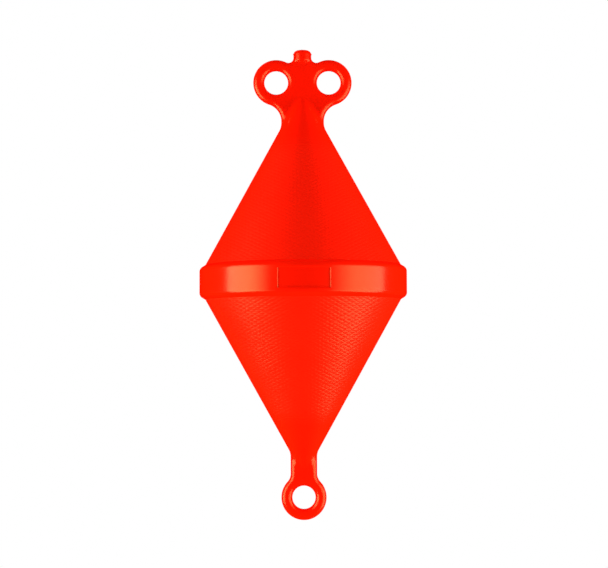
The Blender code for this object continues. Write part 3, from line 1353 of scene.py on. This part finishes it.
@dataclass(frozen=True, kw_only=True)
class Softbox(Lamp):
    """A tall softbox beside the buoy, which draws the highlights.

    It is dimmer towards its edges, over a share of its width or height: most towards the edge
    that is nearer to the camera, because the band's highlights fade out towards the middle.
    """

    elevation: float = 0.0
    height: float = 1.70
    distance: float = 1.3
    drop: float = 0.0
    near_fade: float = 0.4
    far_fade: float = 0.1
    top_fade: float = 0.35

    def hang(self, target: Vector) -> bpy.types.Object:
        """Hangs the softbox, lowers it by its drop and dims its edges.

        Args:
            target: the point that it faces, before it is lowered.

        Returns:
            The lamp's object.
        """
        hung = super().hang(target)
        hung.location.z -= self.drop
        self._fade(hung.data)
        return hung

    def _fade(self, lamp: bpy.types.Light) -> None:
        """Multiplies the lamp's strength by a ramp from 0 to 1 at each fading edge.

        Args:
            lamp: the softbox's lamp.
        """
        tree = bare_tree(lamp)
        spot = add_node(tree, "ShaderNodeNewGeometry").outputs["Parametric"]
        place = add_node(tree, "ShaderNodeSeparateXYZ", {0: spot}).outputs
        side = math.copysign(1.0, self.bearing)
        near = 0.5 - side / 2
        strength: bpy.types.NodeSocket | float = 1.0
        for axis, edge, reach in (
            ("X", near, side * self.near_fade),
            ("X", 1.0 - near, -side * self.far_fade),
            ("Y", 1.0, -self.top_fade),
        ):
            ramp = add_node(
                tree,
                "ShaderNodeMapRange",
                {"Value": place[axis], "From Min": edge, "From Max": edge + reach},
            ).outputs[0]
            strength = add_node(
                tree, "ShaderNodeMath", {0: strength, 1: ramp}, operation="MULTIPLY"
            ).outputs[0]
        glow = add_node(tree, "ShaderNodeEmission", {"Strength": strength})
        add_node(tree, "ShaderNodeOutputLight", {"Surface": glow.outputs[0]})


@dataclass(frozen=True, kw_only=True)
class FillPanel(Lamp):
    """A large panel that evenly fills the shadows and isn't seen in the sheen."""

    width: float = 2.4
    height: float = 2.4
    distance: float = 2.5

    def hang(self, target: Vector) -> bpy.types.Object:
        """Hangs the panel and keeps it out of the sheen.

        Args:
            target: the point that it faces.

        Returns:
            The lamp's object.
        """
        hung = super().hang(target)
        hung.visible_glossy = False
        # Rays that leave the skin at random would bring the panel back into the sheen
        hung.data.cycles.use_multiple_importance_sampling = False
        return hung


@dataclass(frozen=True)
class Studio:
    """Two tall softboxes beside the buoy, fill panels around it, and a pale floor far below.

    The sheen in the photo shows the two softboxes, the left one brighter, and a dark room. So
    the white behind the buoy is for the camera alone, and the panels, which light the colour
    of the skin, are left out of the reflections. The room gives only a little even light.
    """

    target: Vector
    lamps: tuple[Lamp, ...] = (
        Softbox(
            name="left_softbox",
            radiance=4.0,
            bearing=math.radians(-62.0),
            width=1.30,
            drop=-0.02,
        ),
        Softbox(
            name="right_softbox",
            radiance=2.6,
            bearing=math.radians(62.0),
            width=1.72,
            height=1.90,
            drop=0.22,
        ),
        FillPanel(
            name="top_fill", radiance=2.2, bearing=0.0, elevation=math.radians(70.0)
        ),
        # The floor's own bounce is left out, and this panel stands in for it
        FillPanel(
            name="low_fill",
            radiance=5.0,
            bearing=0.0,
            elevation=math.radians(-84.0),
            width=1.5,
            height=1.5,
            distance=1.6,
        ),
        FillPanel(
            name="left_fill",
            radiance=10.5,
            bearing=math.radians(-97.0),
            elevation=math.radians(-10.0),
            width=2.2,
            height=2.2,
        ),
        FillPanel(
            name="right_fill",
            radiance=12.0,
            bearing=math.radians(97.0),
            elevation=math.radians(-10.0),
            width=2.2,
            height=2.2,
        ),
        FillPanel(
            name="back_fill", radiance=1.6, bearing=math.pi, elevation=math.radians(20.0)
        ),
    )
    room_light: float = 0.12
    floor_height: float = -1.4
    floor_radius: float = 6.5
    floor_colour: str = "747474"
    floor_roughness: float = 0.9
    floor_glow: float = 0.91

    def light(self) -> None:
        """Sets up the lamps, the room and the floor."""
        for lamp in self.lamps:
            lamp.hang(self.target)
        self._room()
        self._floor()

    def _room(self) -> None:
        """Makes the room white to the camera, black in reflections and dim otherwise."""
        world = bpy.data.worlds.new("studio")
        bpy.context.scene.world = world
        tree = bare_tree(world)
        rays = add_node(tree, "ShaderNodeLightPath").outputs
        strength: bpy.types.NodeSocket | float = self.room_light
        for ray, value in (("Is Glossy Ray", 0.0), ("Is Camera Ray", 1.0)):
            strength = add_node(
                tree, "ShaderNodeMix", {0: rays[ray], 2: strength, 3: value}
            ).outputs[0]
        room = add_node(
            tree,
            "ShaderNodeBackground",
            {"Color": (1.0, 1.0, 1.0, 1.0), "Strength": strength},
        )
        add_node(tree, "ShaderNodeOutputWorld", {"Surface": room.outputs[0]})

    def _floor(self) -> None:
        """Lays a round floor under the buoy, close to white and with a faint shadow.

        Most of its brightness is for the camera alone, as the room's white is. Its bounce on
        the buoy is left out, because it would come back in the sheen.
        """
        mesh = bpy.data.meshes.new("studio_floor")
        bm = bmesh.new()
        bmesh.ops.create_circle(bm, cap_ends=True, segments=128, radius=self.floor_radius)
        bmesh.ops.translate(bm, verts=bm.verts, vec=(0.0, 0.0, self.floor_height))
        bm.to_mesh(mesh)
        bm.free()
        floor = put_in_scene("studio_floor", mesh)
        floor.visible_glossy = False
        floor.visible_diffuse = False
        paint = bpy.data.materials.new("matt_grey_floor_paint")
        # It lights nothing, so no ray is spent on it
        paint.cycles.emission_sampling = "NONE"
        tree = bare_tree(paint)
        rays = add_node(tree, "ShaderNodeLightPath").outputs
        glow = add_node(
            tree,
            "ShaderNodeMath",
            {0: rays["Is Camera Ray"], 1: self.floor_glow},
            operation="MULTIPLY",
        ).outputs[0]
        shader = add_node(
            tree,
            "ShaderNodeBsdfPrincipled",
            {
                "Base Color": linear(self.floor_colour),
                "Roughness": self.floor_roughness,
                "Emission Color": (1.0, 1.0, 1.0, 1.0),
                "Emission Strength": glow,
            },
        )
        add_node(tree, "ShaderNodeOutputMaterial", {"Surface": shader.outputs[0]})
        mesh.materials.append(paint)


@dataclass(frozen=True)
class PhotoCamera:
    """The photograph's camera: level with the lower cone and tilted a little upwards.

    Its place, its turns and its focal length are those at which the outline of the buoy falls
    on the photograph's. The shift only puts the waist where it lies in the frame.
    """

    target: Vector
    distance: float = 2.0
    azimuth: float = math.radians(-0.5)
    elevation: float = math.radians(-2.75)
    roll: float = math.radians(-0.22)
    focal_pixels: float = 1292.7
    image_width: int = 608
    image_height: int = 568
    waist_pixel: tuple[float, float] = (303.2, 282.5)
    sensor: float = 36.0

    def place(self) -> None:
        """Creates the camera and makes it the scene's."""
        data = bpy.data.cameras.new("photo_camera")
        data.sensor_width = self.sensor
        data.lens = self.focal_pixels / self.image_width * self.sensor
        data.shift_x = (self.image_width / 2 - self.waist_pixel[0]) / self.image_width
        data.shift_y = (self.waist_pixel[1] - self.image_height / 2) / self.image_width
        camera = put_in_scene("photo_camera", data)
        back = direction(self.azimuth, self.elevation)
        turn = back.to_track_quat("Z", "Y").to_matrix()
        camera.rotation_euler = (turn @ Matrix.Rotation(self.roll, 3, "Z")).to_euler()
        camera.location = self.target + back * self.distance
        bpy.context.scene.camera = camera


def main() -> None:
    """Builds the buoy's skin, dresses it and sets up the studio."""
    logging.basicConfig(level=logging.INFO, format="%(name)s: %(message)s")
    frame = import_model()
    node = next(iter(frame["nodes"]))
    low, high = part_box(node)

    moulding = BuoyMoulding(
        band=WaistBand(radius=high.x),
        plastic=BlowMouldedPolyethylene(),
        low_rim=-low.z,
        stub_top=high.z,
    )
    skin = moulding.build()
    moulding.dress(skin, node)
    log.info("%s: %d faces", skin.name, len(skin.data.polygons))

    waist = Vector((0.0, 0.0, moulding.waist))
    Studio(waist).light()
    PhotoCamera(waist).place()
    bpy.context.scene.view_settings.view_transform = "Standard"


if __name__ == "__main__":
    main()
